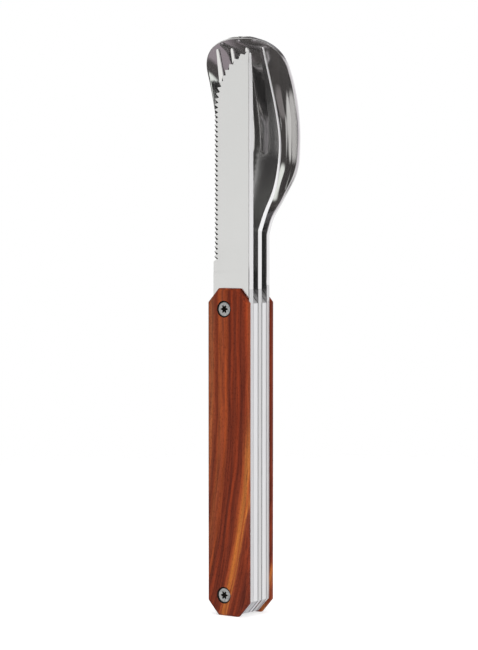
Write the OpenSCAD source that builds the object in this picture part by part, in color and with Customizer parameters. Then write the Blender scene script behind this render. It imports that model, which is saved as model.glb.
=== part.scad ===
// Picnic cutlery set: a knife, a fork and a spoon whose handles stack into one and are held by magnets.
// +X is the width of the handle, +Y runs from the knife to the spoon, +Z runs along the set to the tips.
// The handle's flat end is on Z = 0, and X = Y = 0 is the middle of the set's width and depth.

/* [Handle] */
// Length of the stacked handle
handle_l = 115.5; // [100:0.5:130]
// Width of the wooden scales
handle_w = 17.4; // [16:0.1:20]
// How much of the width each cut corner takes
corner_x = 4.5; // [3:0.1:5.5]
// How much of the length each cut corner takes
corner_z = 5.0; // [3:0.1:6]
// Bevel around the outer face of each wooden scale
edge_bevel = 0.85; // [0.3:0.05:1.2]
// How far the metal sits inside the edge of the wood
metal_inset = 0.7; // [0.3:0.05:1]

/* [Stack] */
// Thickness of each wooden scale
wood_t = 2.1; // [1.8:0.1:3]
// Thickness of the knife's steel
knife_t = 2.5; // [2:0.1:3]
// Thickness of each aluminium spacer
spacer_t = 2.95; // [2.6:0.05:4]
// Thickness of the fork's steel at the handle
fork_t = 2.3; // [2.2:0.1:3]
// Thickness of the spoon's steel at the handle
spoon_t = 1.8; // [1.5:0.1:2.5]
// Depth of the whole set, from the knife-side face to the back of the bowl
set_depth = 27.4; // [26.5:0.1:29]

/* [Knife] */
// Height of the blade's tip
blade_tip_z = 198.6; // [195:0.1:205]
// Height where the blade's grind and its serrations begin
grind_z = 121.5; // [118:0.1:124]
// How far the cutting edge lies from the middle of the handle
edge_x = 7.15; // [6:0.05:7.3]
// Distance from one tooth to the next
tooth_pitch = 1.71; // [1.5:0.01:2.5]
// Depth of each tooth
tooth_depth = 1.6; // [0.8:0.1:2]
// How much the grind takes off the blade's outer side at its edge
grind_front = 0.35; // [0.1:0.05:0.6]
// How much the grind takes off the side that faces the fork at the edge
grind_back = 1.2; // [0.6:0.05:1.4]

/* [Fork] */
// Height of the tips of the tines
fork_tip_z = 199.8; // [195:0.1:205]
// Height where the fork bends away from its handle
fork_neck_z = 135.5; // [130:0.1:140]
// Distance from one tine to the next
tine_pitch = 6.32; // [5.8:0.01:6.6]
// Height of the bottom of the slots between the tines
slot_z = 162.5; // [155:0.1:170]
// Width of each slot at its round bottom
slot_w = 3.3; // [2.5:0.1:3.6]
// Thickness of the tines at their tips
tine_t = 1.0; // [0.8:0.1:1.5]

/* [Spoon] */
// Height of the tip of the bowl
spoon_tip_z = 203.0; // [200:0.1:206]
// Height where the spoon bends away from its handle
spoon_neck_z = 134.5; // [130:0.1:138]
// Thickness of the bowl's wall
bowl_t = 1.2; // [1:0.1:1.5]

/* [Fasteners and magnets] */
// Sideways place of the screws
screw_x = -1.4; // [-2:0.1:2]
// Distance of each screw from the end of the handle
screw_end = 7.3; // [6.5:0.1:9]
// Diameter of the screw's shank
screw_d = 3.0; // [2.5:0.1:3]
// Diameter of the screw's countersunk head
head_d = 5.2; // [4.6:0.1:5.4]
// Depth of the head's top below the face of the wood
head_sink = 0.3; // [0.1:0.05:0.4]
// Diameter of each magnet
magnet_d = 8; // [5:0.5:10]
// Thickness of each magnet
magnet_t = 2.0; // [1.5:0.1:2]
// Distance between neighbouring magnets
magnet_gap = 32; // [20:1:34]
// Diameter of the locating pins
pin_d = 2.0; // [1.5:0.1:2.5]
// How far a pin stands out of its spacer
pin_out = 0.95; // [0.5:0.05:1]
// Distance of each locating pin from the end of the handle
pin_end = 14.5; // [13:0.5:16]

/* [Hidden] */
$fn = 48;
eps = 0.01;
fit_gap = 0.1;
// How far a cutter reaches past the face that it cuts
reach = 1;
// Clear length between the end of a screw or pin and the far face of its spacer
end_gap = 0.3;

// Planes of the stack along Y
front_y = -set_depth / 2;
knife_y = front_y + wood_t;
knife_spacer_y = knife_y + knife_t;
fork_y = knife_spacer_y + spacer_t;
spoon_spacer_y = fork_y + fork_t;
spoon_y = spoon_spacer_y + spacer_t;
spoon_scale_y = spoon_y + spoon_t;
back_y = spoon_scale_y + wood_t;

metal_w = handle_w - 2 * metal_inset;
mid_z = handle_l / 2;

// Bowl: the outline closes on a superellipse above this height
cap_z = 191;
cap_power = 2.33;
// Hollow of the bowl across its width
hollow_power = 2.4;
across = 18;
rings_low = 24;
rings_cap = 11;
cap_end = 88;

// Blade: the straight edge ends here, and a curve leads to the tip
belly_z = 178;
edge_start_z = 125;
ricasso_x = 7.4;
// The side that faces the fork is flat up to here, then thins by a little, then thins to the tip
taper_start_z = 155;
taper_bend_z = 180;
taper_bend_t = 0.3;
tip_t = 1.0;

// Stations of the fork's head, from neck to tips:
// share of its length, half width, how far its middle is set back
fork_stations = [
    [0.00, metal_w / 2, 0.0],
    [0.10, 9.25, 1.7],
    [0.22, 11.5, 3.7],
    [0.36, 12.5, 5.2],
    [0.50, 12.5, 5.8],
    [0.65, 11.75, 4.7],
    [0.80, 10.95, 2.4],
    [1.00, 9.95, -1.1]
];

// Stations of the spoon's bowl, from neck to tip:
// share of its length, half width, how far its rim is set back, depth of its hollow
spoon_stations = [
    [0.00, metal_w / 2, 0.0, 0.0],
    [0.09, 8.7, 2.2, 0.3],
    [0.18, 10.95, 4.85, 2.3],
    [0.32, 15.9, 5.75, 5.9],
    [0.45, 17.4, 5.25, 7.9],
    [0.60, 17.55, 4.5, 8.4],
    [0.75, 17.6, 1.75, 6.9],
    [0.90, 17.3, -2.65, 3.7],
    [1.00, 17.3, -5.6, 0.0]
];

// ---- Smooth curves through stations ----

// Number of the stretch of table t that holds the value u
function stretch(t, u, i = 0) = (i >= len(t) - 2 || u < t[i + 1][0]) ? i : stretch(t, u, i + 1);

// Slope of column c of table t at row i
function slope(t, i, c) =
    let (a = max(i - 1, 0), b = min(i + 1, len(t) - 1))
    (t[b][c] - t[a][c]) / (t[b][0] - t[a][0]);

// Column c of table t at the value u, on a smooth curve
function smooth(t, u, c) =
    let (
        i = stretch(t, u),
        w = t[i + 1][0] - t[i][0],
        s = (u - t[i][0]) / w,
        s2 = s * s,
        s3 = s2 * s
    )
    (2 * s3 - 3 * s2 + 1) * t[i][c] + (s3 - 2 * s2 + s) * w * slope(t, i, c)
    + (3 * s2 - 2 * s3) * t[i + 1][c] + (s3 - s2) * w * slope(t, i + 1, c);

// Point of a cubic curve from a to d, pulled towards b and c
function bezier(a, b, c, d, t) =
    pow(1 - t, 3) * a + 3 * pow(1 - t, 2) * t * b + 3 * (1 - t) * t * t * c + pow(t, 3) * d;

// ---- Flat plates that stand along Z ----

// A cut corner's sizes along X and Z, when the outline is set in evenly by d
corner_loss = corner_x + corner_z - norm([corner_x, corner_z]);
function cut_x(d) = corner_x - d * corner_loss / corner_z;
function cut_z(d) = corner_z - d * corner_loss / corner_x;

// The handle's outline with all its corners cut, set in by d
function handle_outline(d) =
    let (h = handle_w / 2 - d, lo = d, hi = handle_l - d, cx = cut_x(d), cz = cut_z(d))
    [
        [-h + cx, lo], [h - cx, lo], [h, lo + cz], [h, hi - cz],
        [h - cx, hi], [-h + cx, hi], [-h, hi - cz], [-h, lo + cz]
    ];

// Two cut corners at the foot of a metal plate
function foot_outline() =
    let (h = metal_w / 2, lo = metal_inset, cx = cut_x(metal_inset), cz = cut_z(metal_inset))
    [[-h, lo + cz], [-h + cx, lo], [h - cx, lo], [h, lo + cz]];

// A flat outline in X and Z made into a plate from y to y + t
module plate(y, t) {
    translate([0, y + t, 0])
        rotate([90, 0, 0])
            linear_extrude(t)
                children();
}

// A flat outline in Z and Y made into a band across the whole width
module band() {
    translate([-handle_w * 2, 0, 0])
        rotate([90, 0, 90])
            linear_extrude(handle_w * 4)
                children();
}

// A round bar along +Y, from y to y + l
module bar(x, z, y, l, d) {
    translate([x, y, z])
        rotate([-90, 0, 0])
            cylinder(h = l, d = d);
}

// ---- Parts that the knife and the spoon share ----

// A slab whose outer face, on Y = 0, has a bevel all round; it is wood_t thick along +Y
module bevelled_slab() {
    wide = handle_outline(0);
    narrow = handle_outline(edge_bevel);
    n = len(wide);
    points = concat(
        [for (p = narrow) [p.x, 0, p.y]],
        [for (p = wide) [p.x, edge_bevel, p.y]],
        [for (p = wide) [p.x, wood_t, p.y]]
    );
    faces = concat(
        [[for (i = [n - 1 : -1 : 0]) i]],
        [for (row = [0, 1], i = [0 : n - 1])
            let (j = (i + 1) % n)
            [row * n + i, row * n + j, (row + 1) * n + j, (row + 1) * n + i]
        ],
        [[for (i = [0 : n - 1]) 2 * n + i]]
    );
    polyhedron(points, faces);
}

// dir is 1 where the outer face looks along -Y, and -1 where it looks along +Y
module scale_body(outer_y, dir) {
    difference() {
        translate([0, outer_y, 0])
            rotate([0, 0, dir > 0 ? 0 : 180])
                bevelled_slab();
        for (z = [screw_end, handle_l - screw_end])
            countersunk_hole(z, outer_y, dir);
    }
}

// Hole for a screw, with the cone that its head sits in: at the face it is wider than the head
module countersunk_hole(z, outer_y, dir) {
    face_r = head_d / 2 + head_sink;
    hole_r = screw_d / 2 + fit_gap;
    above = 0.5;
    translate([screw_x, outer_y, z])
        rotate([-90 * dir, 0, 0])
            rotate_extrude()
                polygon([
                    [0, -above], [face_r + above, -above], [hole_r, face_r - hole_r],
                    [hole_r, wood_t + reach], [0, wood_t + reach]
                ]);
}

// An aluminium bar whose pockets open at open_y, towards the fork
module spacer(y, open_y, dir) {
    pocket_t = magnet_t + fit_gap;
    pocket_y = dir > 0 ? open_y - pocket_t : open_y - reach;
    color("silver")
    difference() {
        plate(y, spacer_t)
            polygon(handle_outline(metal_inset));
        for (k = [-1 : 1])
            bar(0, mid_z + k * magnet_gap, pocket_y, pocket_t + reach, magnet_d + fit_gap);
        for (z = [pin_end, handle_l - pin_end])
            bar(0, z, y - reach, spacer_t + 2 * reach, pin_d);
        for (z = [screw_end, handle_l - screw_end])
            bar(screw_x, z, y - reach, spacer_t + 2 * reach, screw_d);
    }
}

// A magnet on the floor of its pocket, a little below the spacer's open face
module magnet(z, open_y, dir) {
    color("dimgray")
        bar(0, z, dir > 0 ? open_y - magnet_t - fit_gap : open_y + fit_gap, magnet_t, magnet_d);
}

// A locating pin pressed into a spacer, standing out of its open face
module pin(z, open_y, dir) {
    length = spacer_t - end_gap + pin_out;
    color("gainsboro")
        bar(0, z, dir > 0 ? open_y + pin_out - length : open_y - pin_out, length, pin_d);
}

// A countersunk screw with a six-lobed socket, from the outer face into the spacer
module screw(z, outer_y, dir, plate_t) {
    head_r = head_d / 2;
    shank_r = screw_d / 2;
    length = wood_t + plate_t + spacer_t - head_sink - end_gap;
    socket_r = 1.05;
    lobe_r = 0.38;
    socket_t = 0.9;
    color("lightslategray")
    translate([screw_x, outer_y + dir * head_sink, z])
        rotate([-90 * dir, 0, 0])
            difference() {
                union() {
                    cylinder(h = head_r - shank_r, r1 = head_r, r2 = shank_r);
                    cylinder(h = length, r = shank_r);
                }
                translate([0, 0, -reach])
                    cylinder(h = socket_t + reach, r = socket_r);
                for (k = [0 : 5])
                    rotate([0, 0, 60 * k])
                        translate([socket_r, 0, -reach])
                            cylinder(h = socket_t + reach, r = lobe_r);
            }
}

// Holes for the shanks of the two screws
module screw_holes(y, t) {
    for (z = [screw_end, handle_l - screw_end])
        bar(screw_x, z, y - reach, t + 2 * reach, screw_d + 2 * fit_gap);
}

// ---- Knife ----

// The teeth: straight along the edge, then on a curve that leads to the tip
belly = [[-edge_x, belly_z], [-edge_x, belly_z + 9], [-2.45, blade_tip_z - 3.6], [7.5, blade_tip_z]];
valley = 0.45;
straight_teeth = floor((belly_z - edge_start_z) / tooth_pitch);
straight_pitch = (belly_z - edge_start_z) / straight_teeth;
curved_teeth = 11;

// Place of a tooth's point on the belly: the teeth grow from one pitch to almost two
first_share = 0.71;
function spread(s) = s * (first_share + (1 - first_share) * s);

function belly_point(t) = bezier(belly[0], belly[1], belly[2], belly[3], t);
function belly_normal(t) =
    let (d = belly_point(t + eps) - belly_point(t - eps))
    [d.y, -d.x] / norm(d);

straight_edge = [
    for (k = [0 : straight_teeth - 1])
        for (p = [[0, 0], [tooth_depth, valley]])
            [-edge_x + p.x, edge_start_z + (k + p.y) * straight_pitch]
];

curved_edge = [
    for (k = [0 : curved_teeth - 1])
        for (p = [0, 1])
            let (
                t = spread((k + valley * p) / curved_teeth),
                depth = p * tooth_depth * (1 - 0.35 * t)
            )
            belly_point(t) + depth * belly_normal(t)
];

module blade_outline() {
    h = metal_w / 2;
    polygon(concat(
        [[h, blade_tip_z - 1.2], [h - 0.15, blade_tip_z - 0.4], [h - 0.5, blade_tip_z]],
        [for (i = [len(curved_edge) - 1 : -1 : 0]) curved_edge[i]],
        [for (i = [len(straight_edge) - 1 : -1 : 0]) straight_edge[i]],
        [[-ricasso_x, edge_start_z - 0.3], [-ricasso_x, handle_l - 3], [-h, handle_l - 4.5]],
        foot_outline()
    ));
}

// The blade seen along X: it thins towards its tip, on the side that faces the fork
module blade_side() {
    back = knife_y + knife_t;
    polygon([
        [knife_y, 0], [back, 0], [back, taper_start_z],
        [back - taper_bend_t, taper_bend_z], [knife_y + tip_t, blade_tip_z],
        [knife_y + tip_t, blade_tip_z + reach], [knife_y, blade_tip_z + reach]
    ]);
}

// What the grind takes off both sides: two wedges, widest at the edge, that end at the spine
module grind() {
    out = metal_w / 2 + reach;
    spine_cut = 0.05;
    back = knife_y + knife_t;
    translate([0, 0, grind_z])
        linear_extrude(blade_tip_z) {
            polygon([[out, knife_y - spine_cut], [-out, knife_y - reach], [-out, knife_y + grind_front]]);
            polygon([[out, back + spine_cut], [-out, back - grind_back], [-out, back + reach]]);
        }
}

module knife_blade() {
    color("gainsboro")
    difference() {
        intersection() {
            plate(knife_y, knife_t)
                blade_outline();
            band()
                blade_side();
        }
        grind();
        screw_holes(knife_y, knife_t);
    }
}

module knife_scale() {
    color("sienna")
        scale_body(front_y, 1);
}

// ---- Fork ----

fork_l = fork_tip_z - fork_neck_z;
fork_steps = 26;
// The bent head stays within this distance of the handle's plate
head_room = 10;

// Width and set-back of the head at the share u of its length
function fork_half_w(u) = smooth(fork_stations, u, 1);
function fork_back(u) = fork_y + fork_t / 2 + smooth(fork_stations, u, 2);
// The steel thins out soon after the neck
function fork_half_t(u) = (tine_t + (fork_t - tine_t) * pow(1 - u, 2)) / 2;

// A point on the front (side -1) or the back (side 1) of the bent sheet, as Y and Z
function fork_side(u, side) =
    let (
        rise = (fork_back(min(u + eps, 1)) - fork_back(max(u - eps, 0)))
             / ((min(u + eps, 1) - max(u - eps, 0)) * fork_l),
        n = u == 0 ? [1, 0] : [1, -rise] / norm([1, rise])
    )
    [fork_back(u), fork_neck_z + u * fork_l] + side * fork_half_t(u) * n;

module fork_profile() {
    polygon(concat(
        [[fork_y, 0], [fork_y + fork_t, 0]],
        [for (i = [0 : fork_steps]) fork_side(i / fork_steps, 1)],
        [for (i = [fork_steps : -1 : 0]) fork_side(i / fork_steps, -1)]
    ));
}

// A slot between two tines: round at the bottom, wider at the tips, whose points taper
module slot(x) {
    root = slot_w / 2;
    tip_gap = tine_pitch / 2 - 0.6;
    point_gap = tine_pitch / 2 - 0.3;
    taper_z = fork_tip_z - 1.2;
    polygon([
        [x - root, slot_z + root], [x + root, slot_z + root], [x + tip_gap, taper_z],
        [x + point_gap, fork_tip_z + eps], [x + point_gap, fork_tip_z + reach],
        [x - point_gap, fork_tip_z + reach], [x - point_gap, fork_tip_z + eps], [x - tip_gap, taper_z]
    ]);
    translate([x, slot_z + root])
        circle(r = root);
}

module fork_outline() {
    right = [for (i = [0 : fork_steps]) [fork_half_w(i / fork_steps), fork_neck_z + i * fork_l / fork_steps]];
    difference() {
        polygon(concat(
            foot_outline(),
            right,
            [for (i = [fork_steps : -1 : 0]) [-right[i].x, right[i].y]]
        ));
        for (k = [-1 : 1])
            slot(k * tine_pitch);
    }
}

module fork() {
    color("lightgray")
    difference() {
        intersection() {
            plate(fork_y - head_room, fork_t + 2 * head_room)
                fork_outline();
            band()
                fork_profile();
        }
        for (z = [pin_end, handle_l - pin_end])
            bar(0, z, fork_y - reach, fork_t + 2 * reach, pin_d + 2 * fit_gap);
    }
}

// ---- Spoon ----

spoon_l = spoon_tip_z - spoon_neck_z;
cap_share = (cap_z - spoon_neck_z) / spoon_l;

// Shares of the bowl's length and how far its outline has closed, ring by ring
rings = concat(
    [for (i = [0 : rings_low]) [cap_share * i / rings_low, 1]],
    [for (i = [1 : rings_cap])
        let (a = i * cap_end / rings_cap)
        [cap_share + (1 - cap_share) * pow(sin(a), 2 / cap_power), pow(cos(a), 2 / cap_power)]
    ]
);

// A point on the inside of the bowl, v from -1 to 1 across it
function bowl_point(ring, v) =
    let (u = ring[0], w = smooth(spoon_stations, u, 1) * ring[1])
    [
        v * w,
        spoon_y + smooth(spoon_stations, u, 2) + smooth(spoon_stations, u, 3) * (1 - pow(abs(v), hollow_power)),
        spoon_neck_z + u * spoon_l
    ];

inside = [for (r = rings) [for (j = [0 : across]) bowl_point(r, 2 * j / across - 1)]];

function bowl_normal(i, j) =
    let (
        i2 = min(i + 1, len(rings) - 1),
        along = inside[i2][j] - inside[i - 1][j],
        over = inside[i][min(j + 1, across)] - inside[i][max(j - 1, 0)],
        n = cross(along, over)
    )
    n / norm(n);

function wall(u) = bowl_t + (spoon_t - bowl_t) * pow(1 - u, 4);

outside = [
    for (i = [0 : len(rings) - 1])
        [for (j = [0 : across]) inside[i][j] + wall(rings[i][0]) * (i == 0 ? [0, 1, 0] : bowl_normal(i, j))]
];

module bowl() {
    row = across + 1;
    last = len(rings) - 1;
    back = row * len(rings);
    points = concat([for (r = inside) each r], [for (r = outside) each r]);
    faces = concat(
        [for (i = [0 : last - 1], j = [0 : across - 1]) each [
            [i * row + j, (i + 1) * row + j, i * row + j + 1],
            [i * row + j + 1, (i + 1) * row + j, (i + 1) * row + j + 1],
            [back + i * row + j, back + i * row + j + 1, back + (i + 1) * row + j],
            [back + i * row + j + 1, back + (i + 1) * row + j + 1, back + (i + 1) * row + j]
        ]],
        [for (i = [0 : last - 1]) each [
            [i * row, back + i * row, (i + 1) * row],
            [back + i * row, back + (i + 1) * row, (i + 1) * row],
            [i * row + across, (i + 1) * row + across, back + i * row + across],
            [back + i * row + across, (i + 1) * row + across, back + (i + 1) * row + across]
        ]],
        [for (j = [0 : across - 1]) each [
            [j, j + 1, back + j],
            [j + 1, back + j + 1, back + j],
            [last * row + j, back + last * row + j, last * row + j + 1],
            [last * row + j + 1, back + last * row + j, back + last * row + j + 1]
        ]]
    );
    polyhedron(points, faces);
}

module spoon() {
    h = metal_w / 2;
    color("lightgray")
    difference() {
        union() {
            plate(spoon_y, spoon_t)
                polygon(concat(foot_outline(), [[h, spoon_neck_z], [-h, spoon_neck_z]]));
            bowl();
        }
        screw_holes(spoon_y, spoon_t);
    }
}

module spoon_scale() {
    color("sienna")
        scale_body(back_y, -1);
}

// ---- What is drawn ----

fork();

knife_blade();
knife_scale();
spacer(knife_spacer_y, fork_y, 1);  // knife_spacer
screw(screw_end, front_y, 1, knife_t);  // knife_screw_lower
screw(handle_l - screw_end, front_y, 1, knife_t);  // knife_screw_upper
magnet(mid_z - magnet_gap, fork_y, 1);  // knife_magnet_lower
magnet(mid_z, fork_y, 1);  // knife_magnet_middle
magnet(mid_z + magnet_gap, fork_y, 1);  // knife_magnet_upper
pin(pin_end, fork_y, 1);  // knife_pin_lower
pin(handle_l - pin_end, fork_y, 1);  // knife_pin_upper

spoon();
spoon_scale();
spacer(spoon_spacer_y, spoon_spacer_y, -1);  // spoon_spacer
screw(screw_end, back_y, -1, spoon_t);  // spoon_screw_lower
screw(handle_l - screw_end, back_y, -1, spoon_t);  // spoon_screw_upper
magnet(mid_z - magnet_gap, spoon_spacer_y, -1);  // spoon_magnet_lower
magnet(mid_z, spoon_spacer_y, -1);  // spoon_magnet_middle
magnet(mid_z + magnet_gap, spoon_spacer_y, -1);  // spoon_magnet_upper
pin(pin_end, spoon_spacer_y, -1);  // spoon_pin_lower
pin(handle_l - pin_end, spoon_spacer_y, -1);  // spoon_pin_upper
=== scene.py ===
"""The looks of a picnic cutlery set: a knife, a fork and a spoon stacked into one wooden handle.

Every piece stands where the CAD part says. Shapes are worked out in millimetres, in the row frame:
+X across the handle, +Y from the knife to the spoon, +Z along the set, and become metres in a mesh.
"""

import math

import bmesh
import bpy
import numpy as np
from mathutils import Matrix, Vector


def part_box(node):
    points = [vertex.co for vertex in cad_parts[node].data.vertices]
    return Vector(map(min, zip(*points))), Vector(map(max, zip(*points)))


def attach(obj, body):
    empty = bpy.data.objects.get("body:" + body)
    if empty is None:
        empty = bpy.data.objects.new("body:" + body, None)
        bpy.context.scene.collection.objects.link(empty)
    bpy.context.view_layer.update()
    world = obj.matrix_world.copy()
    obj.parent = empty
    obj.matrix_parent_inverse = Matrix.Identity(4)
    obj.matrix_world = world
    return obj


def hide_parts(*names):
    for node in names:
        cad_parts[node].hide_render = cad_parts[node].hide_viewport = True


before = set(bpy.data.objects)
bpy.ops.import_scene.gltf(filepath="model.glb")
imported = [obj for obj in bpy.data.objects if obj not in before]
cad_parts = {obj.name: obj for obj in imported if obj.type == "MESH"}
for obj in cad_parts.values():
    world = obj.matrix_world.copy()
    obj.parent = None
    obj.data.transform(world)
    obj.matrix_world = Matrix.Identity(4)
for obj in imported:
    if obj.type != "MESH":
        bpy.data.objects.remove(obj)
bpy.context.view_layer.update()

MM = 0.001


# ---- Sizes that come from the frame ----

def box_mm(node):
    """Lowest and highest corner of a CAD node, in millimetres."""
    low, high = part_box(node)
    return np.array(low) / MM, np.array(high) / MM


def middle(node):
    """Centre of a CAD node, in millimetres."""
    low, high = box_mm(node)
    return (low + high) / 2


SCALE_LOW, SCALE_HIGH = box_mm("knife_scale")
BACK_SCALE_LOW, BACK_SCALE_HIGH = box_mm("spoon_scale")
SPACER_LOW, SPACER_HIGH = box_mm("knife_spacer")
BACK_SPACER_LOW, BACK_SPACER_HIGH = box_mm("spoon_spacer")

HANDLE_L = SCALE_HIGH[2]
HALF_W = SCALE_HIGH[0]
METAL_W = SPACER_HIGH[0]
INSET = HALF_W - METAL_W
FRONT_Y = SCALE_LOW[1]
KNIFE_Y = SCALE_HIGH[1]
KNIFE_T = SPACER_LOW[1] - KNIFE_Y
FORK_Y = SPACER_HIGH[1]
FORK_T = BACK_SPACER_LOW[1] - FORK_Y
SPOON_Y = BACK_SPACER_HIGH[1]
SPOON_T = BACK_SCALE_LOW[1] - SPOON_Y
BACK_Y = BACK_SCALE_HIGH[1]

# ---- Sizes of details, mostly the CAD part's ----

CORNER_X = 4.5
CORNER_Z = 5.0
WOOD_BEVEL = 0.85
WOOD_ROUND = 0.16
METAL_ROUND = 0.18
# a turned profile starts and ends this close to its axis, and a cutter runs this far past a face
AXIS_R = 0.001
PAST = 1.0
# a face counts as a side wall when its normal points this much to the side
SIDEWAYS = 0.8

FORK_NECK_Z = 135.5
FORK_TIP_Z = 199.8
TINE_PITCH = 6.32
SLOT_Z = 162.5
SLOT_R = 1.65
TINE_T = 1.0
TINE_TIP_ROUND = 1.1
TINE_TIP_HALF_W = 0.6
FORK_EDGE_ROUND = 0.1
FORK_BEND_W = 1.2
# share of the head's length, half width, how far the middle is set back
FORK_STATIONS = [
    (0.00, METAL_W, 0.0),
    (0.10, 9.25, 1.7),
    (0.22, 11.5, 3.7),
    (0.36, 12.5, 5.2),
    (0.50, 12.5, 5.8),
    (0.65, 11.75, 4.7),
    (0.80, 10.95, 2.4),
    (1.00, 9.95, -1.1),
]

SPOON_NECK_Z = 134.5
SPOON_TIP_Z = 203.0
BOWL_T = 1.2
RIM_ROUND = 0.34
RIM_TURN = 0.8
SPOON_BEND_W = 1.4
CAP_Z = 191.0
CAP_POWER = 2.33
HOLLOW_POWER = 2.4
# share of the bowl's length, half width, set-back of the rim, depth of the hollow
SPOON_STATIONS = [
    (0.00, METAL_W, 0.0, 0.0),
    (0.09, 8.7, 2.2, 0.3),
    (0.18, 10.95, 4.85, 2.3),
    (0.32, 15.9, 5.75, 5.9),
    (0.45, 17.4, 5.25, 7.9),
    (0.60, 17.55, 4.5, 8.4),
    (0.75, 17.6, 1.75, 6.9),
    (0.90, 17.3, -2.65, 3.7),
    (1.00, 17.3, -5.6, 0.0),
]

BLADE_TIP_Z = 198.6
SPINE_DROP = 1.3
BLADE_MIN_T = 0.35
EDGE_X = 7.15
EDGE_START_Z = 125.0
RICASSO_X = 7.4
BELLY_Z = 178.0
TOOTH_PITCH = 1.71
TOOTH_DEPTH = 1.6
CURVED_TEETH = 11
GRIND_FRONT = 0.35
GRIND_STEP = 0.07
GRIND_BACK = 1.2
TOOTH_BEVEL_W = 2.4
TOOTH_BEVEL_T = 0.8
# a fine bevel along the front of the spine, and a little more of it beside the handle
SPINE_BEVEL_W = 0.24
SPINE_BEVEL_T = 0.09
SPINE_BEVEL_MORE_T = 0.03
SPINE_BEVEL_Z = 126.0
SPINE_BEVEL_RAMP = 5.0
# the plunge: the slanted line where the grind starts, its width, and the width of the soft part
PLUNGE_LEFT_Z = 120.9
PLUNGE_RIGHT_Z = 122.3
PLUNGE_W = 0.9
PLUNGE_SOFT_W = 12.0
# the blade gets thinner towards its tip: height, thickness that is gone
TAPER = [(155, 0.0), (168, 0.06), (180, 0.22), (190, 0.62), (BLADE_TIP_Z, 1.45)]

PIN_R = 1.0
PIN_HOLE_R = 1.1
SCREW_HOLE_R = 1.6
SCREW_FACE_R = 2.9
SCREW_SUNK = 0.35
THREAD_R = 1.5
THREAD_T = 0.22
THREAD_PITCH = 0.5
MAGNET_GAP = 0.05


# ---- Small geometry tools ----

def smooth(stations, u, column):
    """One column of the stations at the shares u of the length, on the CAD part's smooth curve."""
    t = np.array([row[0] for row in stations])
    v = np.array([row[column] for row in stations])
    last = len(t) - 1
    ahead = np.minimum(np.arange(last + 1) + 1, last)
    behind = np.maximum(np.arange(last + 1) - 1, 0)
    slopes = (v[ahead] - v[behind]) / (t[ahead] - t[behind])
    i = np.clip(np.searchsorted(t, u, side="right") - 1, 0, last - 1)
    w = t[i + 1] - t[i]
    s = (u - t[i]) / w
    s2, s3 = s * s, s * s * s
    start = (2 * s3 - 3 * s2 + 1) * v[i] + (s3 - 2 * s2 + s) * w * slopes[i]
    end = (3 * s2 - 2 * s3) * v[i + 1] + (s3 - s2) * w * slopes[i + 1]
    return start + end


def part_way(z, start, end):
    """How far z has come from the start to the end, as a share from 0 to 1."""
    return np.clip((z - start) / (end - start), 0, 1)


def soften(z, values, width):
    """Values along z, averaged over a window of the given width, so that a kink becomes a bend."""
    fine = np.linspace(z[0], z[-1], 4000)
    line = np.interp(fine, z, values)
    n = max(int(width / (fine[1] - fine[0])), 1)
    mirrored_end = line[-1] + (line[-1] - line[-n - 1:-1])[::-1]
    padded = np.concatenate([np.full(n, line[0]), line, mirrored_end])
    window = np.hanning(2 * n + 1)
    return np.interp(z, fine, np.convolve(padded, window / window.sum(), "valid"))


def cut_corner(d):
    """Sizes of the handle's cut corner, when its outline is set in by d."""
    shared = CORNER_X + CORNER_Z - math.hypot(CORNER_X, CORNER_Z)
    return CORNER_X - d * shared / CORNER_Z, CORNER_Z - d * shared / CORNER_X


def handle_outline(d):
    """The handle's outline in X and Z with its cut corners, set in by d, anticlockwise."""
    h, low, high = HALF_W - d, d, HANDLE_L - d
    cx, cz = cut_corner(d)
    return [
        (-h + cx, low), (h - cx, low), (h, low + cz), (h, high - cz),
        (h - cx, high), (-h + cx, high), (-h, high - cz), (-h, low + cz),
    ]


def foot_half_w(z):
    """Half width of a metal plate along the handle, with its two cut corners at the foot."""
    cx, cz = cut_corner(INSET)
    return METAL_W - cx * np.clip(1 - (z - INSET) / cz, 0, 1)


def edge_columns(width, edge, inner):
    """Places across a strip from 0 to its width, close together within edge of both sides."""
    near = np.array([0.0, 0.1, 0.28, 0.55, 1.0]) * min(edge, 0.32 * width)
    far = width - near[::-1]
    return np.concatenate([near, np.linspace(near[-1], far[0], inner + 2)[1:-1], far])


def distance_to_lines(points, starts, ends):
    """Shortest distance from each point to any of the line pieces."""
    best = np.full(len(points), 1e9)
    for a, b in zip(starts, ends):
        d = b - a
        t = np.clip((points - a) @ d / max(d @ d, 1e-12), 0, 1)
        best = np.minimum(best, np.linalg.norm(points - a - t[:, None] * d, axis=1))
    return best


def rounded_edge(distance, radius):
    """How far a face falls in at a distance from its edge, so that the edge is round."""
    short = np.clip(radius - distance, 0, radius)
    return radius - np.sqrt(np.maximum(radius * radius - short * short, 0))


def add_object(name, data):
    """A new object in the scene."""
    obj = bpy.data.objects.new(name, data)
    bpy.context.scene.collection.objects.link(obj)
    return obj


def make_object(name, points, faces, smooth_angle=None):
    """A mesh object from points in millimetres."""
    mesh = bpy.data.meshes.new(name)
    mesh.from_pydata([tuple(float(c) * MM for c in p) for p in points], [], [tuple(f) for f in faces])
    mesh.validate()
    work = bmesh.new()
    work.from_mesh(mesh)
    bmesh.ops.remove_doubles(work, verts=work.verts, dist=1e-7)
    bmesh.ops.recalc_face_normals(work, faces=work.faces)
    work.to_mesh(mesh)
    work.free()
    mesh.shade_smooth()
    if smooth_angle is not None:
        mesh.set_sharp_from_angle(angle=math.radians(smooth_angle))
    return add_object(name, mesh)


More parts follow.
